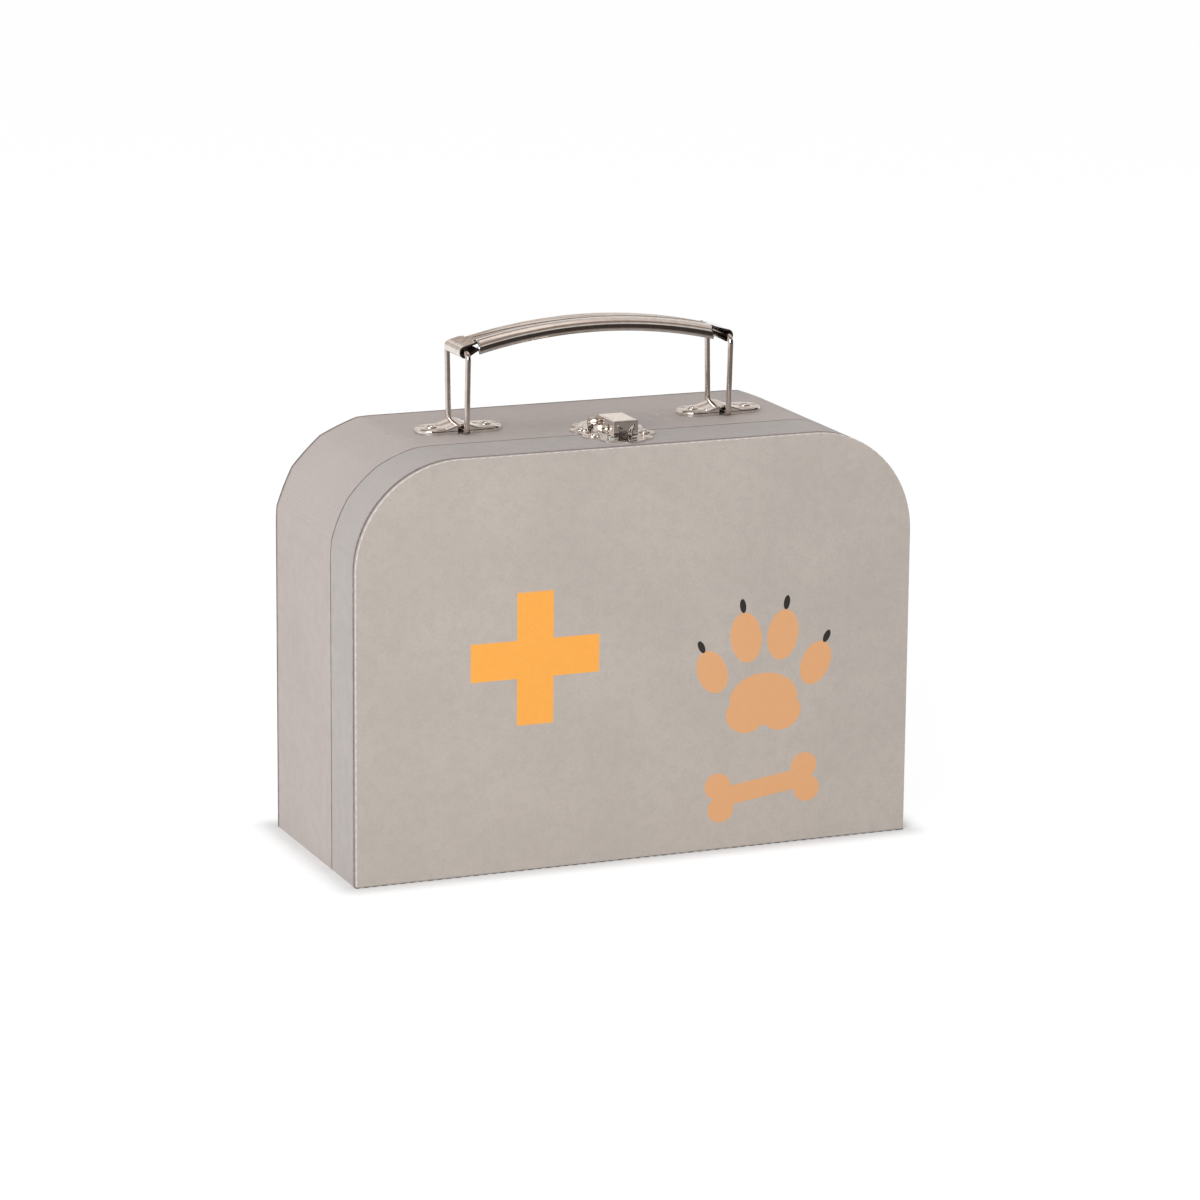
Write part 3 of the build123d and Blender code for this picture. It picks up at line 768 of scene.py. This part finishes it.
# The two rims: crisply folded at the back, pulled round at the seam and under the lid's panel
def dress_rim(name, node, body, look, folds):
    shape = bmesh.new()
    shape.from_mesh(nodes[node].data)
    bmesh.ops.scale(shape, vec=(1 / mm, 1 / mm, 1 / mm), verts=shape.verts)
    bmesh.ops.remove_doubles(shape, verts=shape.verts, dist=0.001)
    cuts = 32

    def on_shoulder(p, side):
        return p.x * side > shoulder_x - 0.01 and p.z > shoulder_z - 0.01

    for side in (-1, 1):
        for k in range(1, cuts):
            turn = radians(k * 90 / cuts)
            near = [f for f in shape.faces if any(on_shoulder(v.co, side) for v in f.verts)]
            edges = {e for f in near for e in f.edges}
            verts = {v for f in near for v in f.verts}
            bmesh.ops.bisect_plane(shape, geom=list(verts) + list(edges) + near, dist=0.0005,
                                   plane_co=(side * shoulder_x, 0, shoulder_z),
                                   plane_no=(-side * sin(turn), 0, cos(turn)))
    for v in shape.verts:
        side = 1 if v.co.x > 0 else -1
        if not on_shoulder(v.co, side):
            continue
        a, b = side * v.co.x - shoulder_x, v.co.z - shoulder_z
        far, turn = sqrt(a * a + b * b), atan2(b, a)
        off = turn - fold_angle * round(turn / fold_angle)
        if far * cos(off) < shoulder_radius - 0.6:
            continue
        share = folds(v.co.y)
        want = shoulder_radius * (1 + share * (1 / cos(off) - 1))
        v.co.x = side * (shoulder_x + want * cos(turn))
        v.co.z = shoulder_z + want * sin(turn)
    keep(name, shape, body, look, [node], 30)


dress_rim("lid_rim_covered", "lid_rim", "lid", cover_lid, lambda y: 0.3 * ease(y, -32, -18))
dress_rim("base_rim_covered", "base_rim", "case_base", cover_base,
          lambda y: 0.3 + 0.3 * ease(y, -17, 30))


# The cloth hinge under the case, pasted to both halves
def make_hinge_cloth():
    shape = bmesh.new()
    bmesh.ops.create_grid(shape, x_segments=80, y_segments=56, size=1)
    bmesh.ops.scale(shape, vec=(cloth_half_length, cloth_half_width, 1), verts=shape.verts)
    bmesh.ops.translate(shape, vec=(0, seam_y, 0.2), verts=shape.verts)
    for v in shape.verts:
        v.co.z += 0.3 * ease(abs(v.co.y - seam_y), cloth_fold, 0.0)
    piece = keep("hinge_cloth", shape, None, cloth,
                 ["hinge_strip_base", "hinge_strip_lid"])
    thick = piece.modifiers.new("cloth_thickness", "SOLIDIFY")
    thick.thickness = cloth_thickness * mm
    thick.offset = 0
    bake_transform(piece)


make_hinge_cloth()


# The handle's brackets: a tray with a round edge at each end and a tented saddle between
def pierce(shape, face, spot, radius):
    """Open a round hole in a flat face."""
    rim = list(face.edges)
    level = face.calc_center_median().z
    bmesh.ops.delete(shape, geom=[face], context="FACES_ONLY")
    ring = bmesh.ops.create_circle(shape, cap_ends=False, segments=28, radius=radius)["verts"]
    bmesh.ops.translate(shape, vec=(spot[0], spot[1], level), verts=ring)
    hole = list({e for v in ring for e in v.link_edges})
    bmesh.ops.triangle_fill(shape, use_beauty=True, use_dissolve=False, edges=rim + hole)
    return hole


def make_tray(shape, x, side):
    """One flat end of a bracket, with a round turned-down edge and an eyelet hole."""
    part = bmesh.new()
    places = ((-1, -1), (1, -1), (1, 1), (-1, 1))
    corners = [part.verts.new((x + a * bracket_half_length,
                               handle_y + b * bracket_half_width, height)) for a, b in places]
    part.faces.new(corners)
    round_off(part, corners, bracket_half_width - 0.01, 12, "VERTICES")
    extrude_face(part, part.faces[:][0], (0, 0, bracket_top))
    rim = edges_at(part, lambda p: p.z > height + bracket_top - 0.01)
    round_off(part, rim, bracket_round, 5)
    cut = bmesh.ops.bisect_plane(part, geom=part.verts[:] + part.edges[:] + part.faces[:],
                                 dist=0.0001, plane_co=(x + side * wire_gap, 0, 0),
                                 plane_no=(side, 0, 0), clear_inner=True)["geom_cut"]
    bmesh.ops.contextual_create(part, geom=[g for g in cut if isinstance(g, bmesh.types.BMEdge)])
    bmesh.ops.recalc_face_normals(part, faces=part.faces)
    spot = (x + side * eyelet_place, handle_y)
    holes = []
    for up in (1, -1):
        flat = [f for f in part.faces if f.normal.z * up > 0.999]
        widest = max(flat, key=lambda f: f.calc_area())
        holes += pierce(part, widest, spot, eyelet_shank)
    bmesh.ops.bridge_loops(part, edges=holes)
    join_part(shape, part)


def make_saddle(shape, x):
    """The tented middle, open right through for the loop's lower bar."""
    part = bmesh.new()
    crown, tunnel, roof, foot = 0.85, 2.55, ridge_top - 0.7, 0.1
    outline = ((-ridge_foot, foot), (-ridge_foot, bracket_top - 0.06), (-crown, ridge_top),
               (crown, ridge_top), (ridge_foot, bracket_top - 0.06), (ridge_foot, foot),
               (wire_gap, foot), (wire_gap, tunnel), (0.4, roof),
               (-0.4, roof), (-wire_gap, tunnel), (-wire_gap, foot))
    depth = bracket_half_width - 0.04
    corners = [part.verts.new((x + a, handle_y - depth, height + b)) for a, b in outline]
    part.faces.new(corners)
    round_off(part, [corners[2], corners[3]], 0.8, 5, "VERTICES")
    extrude_face(part, part.faces[:][0], (0, 2 * depth, 0))
    lip = [e for e in part.edges
           if abs(e.verts[0].co.y - e.verts[1].co.y) < 0.01
           and all(v.co.z - height > bracket_top - 0.1 and
                   v.co.z - height > ridge_top - 0.1 - (abs(v.co.x - x) - crown) * 0.31
                   for v in e.verts)]
    round_off(part, lip, 0.45, 4)
    bmesh.ops.recalc_face_normals(part, faces=part.faces)
    # the tunnel's walls take the second finish, which paints their shade
    for f in part.faces:
        middle = f.calc_center_median() - Vector((x, 0, height))
        tunnel_wall = abs(middle.x) < wire_gap + 0.05 and middle.z < ridge_top - 0.5
        if tunnel_wall and abs(f.normal.y) < 0.5:
            f.material_index = 1
    join_part(shape, part)


def make_bracket(name, x):
    shape = bmesh.new()
    for side in (-1, 1):
        make_tray(shape, x, side)
    make_saddle(shape, x)
    piece = keep(name, shape, "case_base", sheet_look,
                 [name.replace("_shell", "")], 30)
    # second finish: painted shade on the tunnel's walls
    piece.data.materials.append(inside_shade_look)


make_bracket("bracket_left_shell", -bar_x)
make_bracket("bracket_right_shell", bar_x)


def turn_eyelet(shape, x, y, seat):
    """A tubular eyelet: a rolled head, a shank through the board and a rolled tail."""
    tail = eyelet_tail
    profile = ((eyelet_bore, tail), (1.5, tail - 0.02), (2.1, tail + 0.05), (2.35, tail + 0.22),
               (2.25, tail + 0.4), (eyelet_shank, tail + 0.4), (eyelet_shank, seat),
               (2.38, seat), (2.36, seat + 0.2), (2.15, seat + 0.38), (1.75, seat + 0.48),
               (1.35, seat + 0.42), (1.1, seat + 0.22), (eyelet_bore, seat - 0.2))
    points = [shape.verts.new((x + r, y, z)) for r, z in profile]
    ring = [shape.edges.new((points[k - 1], points[k])) for k in range(len(points))]
    bmesh.ops.spin(shape, geom=points + ring, cent=(x, y, 0), axis=(0, 0, 1), angle=2 * pi,
                   steps=32, use_merge=True, use_duplicate=False)


def make_eyelets(name, places, seat, body, node):
    shape = bmesh.new()
    for x, y in places:
        turn_eyelet(shape, x, y, seat)
    keep(name, shape, body, sheet_look, [node], 50)


make_eyelets("bracket_eyelets_turned",
             [(s * bar_x + d * eyelet_place, handle_y) for s in (-1, 1) for d in (-1, 1)],
             height + bracket_top, "case_base", "bracket_eyelets")
for word, side, body in (("lid", -1, "lid"), ("base", 1, "case_base")):
    make_eyelets(f"latch_eyelets_{word}_turned",
                 [(d * latch_eyelet_x, seam_y + side * latch_eyelet_reach) for d in (-1, 1)],
                 height + latch_sheet, body, f"latch_eyelets_{word}")


# The two wire loops, each one closed ring of round wire
def make_loop(name, x, body):
    bars = ((-loop_foot, lower_bar_z), (loop_foot, lower_bar_z),
            (loop_head, upper_bar_z), (-loop_head, upper_bar_z))
    corners = [Vector((x, handle_y + y, z)) for y, z in bars]
    data = bpy.data.curves.new(name, "CURVE")
    data.dimensions = "3D"
    data.bevel_depth = wire / 2
    data.bevel_resolution = 6
    data.resolution_u = 10
    spline = data.splines.new("BEZIER")
    spline.bezier_points.add(7)
    spline.use_cyclic_u = True
    for k, corner in enumerate(corners):
        for j, other in enumerate((corners[k - 1], corners[(k + 1) % 4])):
            away = (other - corner).normalized()
            loop_bend = loop_foot_bend if k < 2 else loop_head_bend
            point = spline.bezier_points[2 * k + j]
            point.co = corner + away * loop_bend
            bend = corner + away * loop_bend * 0.45
            straight = corner + away * (loop_bend + 2)
            point.handle_left_type = point.handle_right_type = "FREE"
            point.handle_left = straight if j == 0 else bend
            point.handle_right = bend if j == 0 else straight
    curve = bpy.data.objects.new(name, data)
    bpy.context.scene.collection.objects.link(curve)
    bpy.context.view_layer.update()
    mesh = bpy.data.meshes.new_from_object(curve)
    bpy.data.objects.remove(curve)
    mesh.transform(Matrix.Scale(mm, 4))
    mesh.name = name
    keep_mesh(name, mesh, body, wire_look, [name.replace("_wire", "")], 60)


make_loop("loop_left_wire", -bar_x, "left_loop")
make_loop("loop_right_wire", bar_x, "right_loop")


# The grip: sheet bent along an arch, with a pressed lens on top and a curl at each end
def make_grip():
    bar_line = (bar_x ** 2 + grip_rise ** 2) / (2 * grip_rise)
    arch = bar_line + curl_radius
    centre = Vector((0, handle_y, upper_bar_z + grip_rise - bar_line))
    end_turn = asin(bar_x / bar_line)
    notch_x = skirt_end + 0.2

    def arm_to(p):
        """From the arch's axis straight out to a point."""
        return Vector((p.x - centre.x, 0, p.z - centre.z))

    shape = bmesh.new()
    crown = centre.z + arch
    low = crown - grip_shoulder
    places = ((-grip_half, low), (-grip_half, crown), (grip_half, crown), (grip_half, low))
    corners = [shape.verts.new((0, handle_y + y, z)) for y, z in places]
    shape.faces.new(corners)
    round_off(shape, corners[1:3], grip_shoulder - 0.01, 9, "VERTICES")
    bmesh.ops.delete(shape, geom=shape.faces[:], context="FACES_ONLY")
    bottom = edges_at(shape, lambda p: p.z < low + 0.001)
    bmesh.ops.delete(shape, geom=bottom, context="EDGES")
    bmesh.ops.remove_doubles(shape, verts=shape.verts, dist=0.05)
    top = [e for e in shape.edges if e.calc_length() > 5]
    across_cuts, arch_steps = 31, 140
    bmesh.ops.subdivide_edges(shape, edges=top, cuts=across_cuts)
    bmesh.ops.rotate(shape, cent=centre, matrix=Matrix.Rotation(-end_turn, 3, "Y"),
                     verts=shape.verts)
    bmesh.ops.spin(shape, geom=shape.verts[:] + shape.edges[:], cent=centre, axis=(0, 1, 0),
                   angle=2 * end_turn, steps=arch_steps, use_merge=False, use_duplicate=False)
    # past the skirts the shoulders are notched, and the sheet runs flat to the curls
    for v in shape.verts:
        if abs(v.co.x) >= notch_x:
            arm = arm_to(v.co)
            v.co += arm.normalized() * (arch - arm.length)
    torn = [f for f in shape.faces
            if min(abs(v.co.x) for v in f.verts) < notch_x < max(abs(v.co.x) for v in f.verts)
            and abs(f.calc_center_median().y - handle_y) > grip_half - grip_shoulder]
    bmesh.ops.delete(shape, geom=torn, context="FACES_ONLY")
    # the side skirts, turned down a little further
    sides = [e for e in shape.edges if e.is_boundary
             and all(abs(abs(v.co.y - handle_y) - grip_half) < 0.02 and abs(v.co.x) < notch_x
                     for v in e.verts)]
    for v in new_verts(bmesh.ops.extrude_edge_only(shape, edges=sides)):
        v.co -= arm_to(v.co).normalized() * (grip_skirt - grip_shoulder)
    # the curls round the upper bars
    for side in (-1, 1):
        edge = [e for e in shape.edges if e.is_boundary
                and all(v.co.x * side > bar_x + 0.3 for v in e.verts)]
        ends = list({v for e in edge for v in e.verts})
        bmesh.ops.spin(shape, geom=ends + edge, cent=(side * bar_x, handle_y, upper_bar_z),
                       axis=(0, side, 0), angle=curl_sweep, steps=20, use_merge=False,
                       use_duplicate=False)
        # its tail runs back under the sheet
        tail = [e for e in shape.edges if e.is_boundary and e.calc_length() < 2
                and all(v.co.z < upper_bar_z - 1.5 and abs(v.co.x) > bar_x - 2 for v in e.verts)
                and abs(e.verts[0].co.x - e.verts[1].co.x) < 0.01
                and e.verts[0].co.x * side > 0]
        made = bmesh.ops.extrude_edge_only(shape, edges=tail)
        bmesh.ops.translate(shape, vec=(-side * curl_tail, 0, curl_tail_rise),
                            verts=new_verts(made))
    # the lens, pressed up out of the sheet
    bow = lens_bow()
    for v in shape.verts:
        arm = arm_to(v.co)
        if arm.length < arch - 0.3:
            continue
        across = abs(v.co.y - handle_y)
        along = min(abs(v.co.x), bow)
        rim = sqrt(bow ** 2 - along ** 2) - (bow - lens_half_width)
        swell = min(max((rim - across) / lens_half_width, 0.0), 1.0)
        lift = 0.55 * ease(rim - across, -0.25, 0.35) + 0.45 * sin(swell * pi / 2)
        v.co += arm.normalized() * lens_height * lift
    piece = keep("grip_pressed", shape, "grip_bar", grip_look, ["grip"], 50)
    # the sheet's underside and edges take the second finish, which paints their shade
    piece.data.materials.append(inside_shade_look)
    sheet = piece.modifiers.new("sheet", "SOLIDIFY")
    sheet.thickness = grip_sheet * mm
    sheet.offset = -1
    sheet.material_offset = 1
    sheet.material_offset_rim = 1


make_grip()
